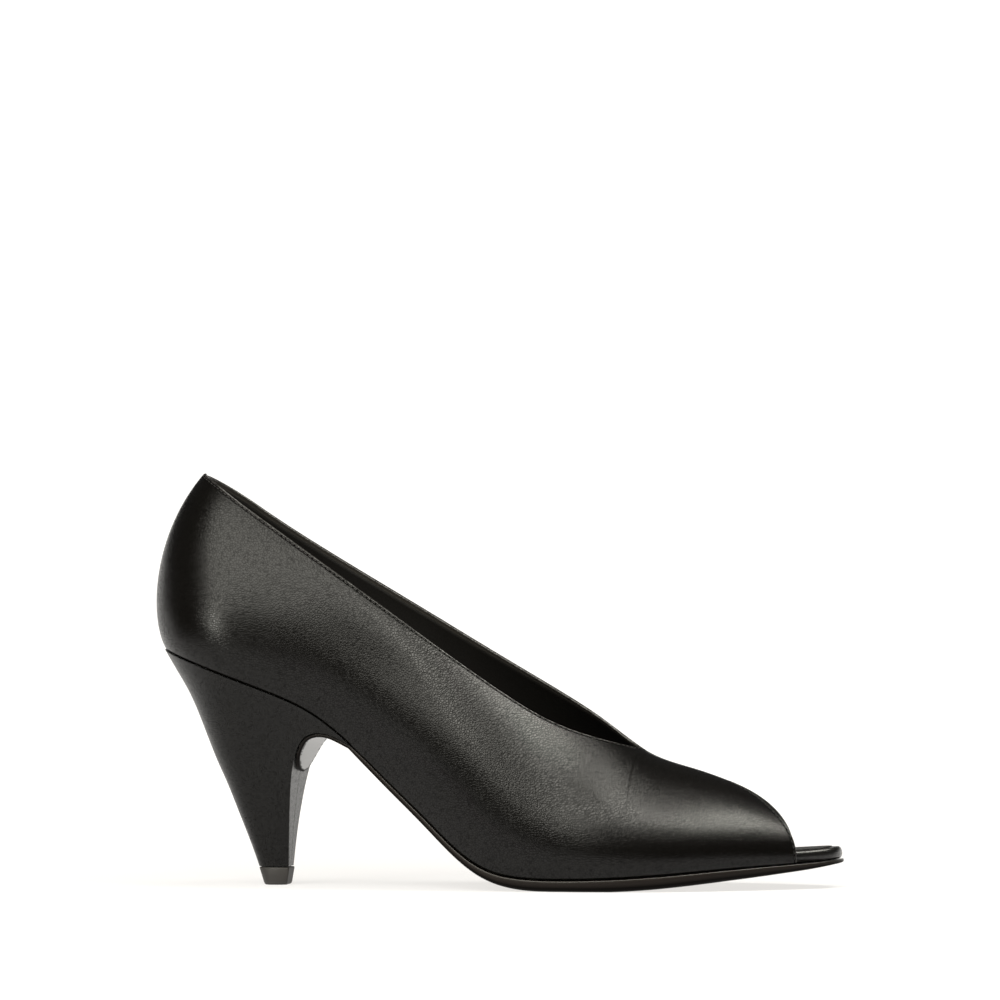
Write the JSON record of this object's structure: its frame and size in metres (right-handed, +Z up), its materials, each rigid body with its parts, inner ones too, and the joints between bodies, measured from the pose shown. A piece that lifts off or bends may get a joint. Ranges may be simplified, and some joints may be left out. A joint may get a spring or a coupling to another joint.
{
  "type": "peep toe pump",
  "caption": "Women's peep toe pump for the right foot: V throat, low cut sides, thin leather sole and a high covered cone heel.",
  "frame": {"origin": "middle of the bounding box on the floor plane that the sole and the top lift stand on", "axes": "+X from the heel to the toe, +Y to the inner (big toe) side, +Z up"},
  "size_m": [0.231, 0.0779, 0.1377],
  "materials": {
    "upper": "smooth fine grained black leather with a soft sheen",
    "insole": "smooth black leather covering",
    "outsole": "polished dark brown black edge and underside",
    "heel": "smooth black leather covering over a hard core",
    "top_lift": "matt black"
  },
  "bodies": {
    "root": {"upper": "upper", "insole": "insole", "outsole": "outsole", "heel": "heel", "top_lift": "top_lift"}
  },
  "joints": []
}
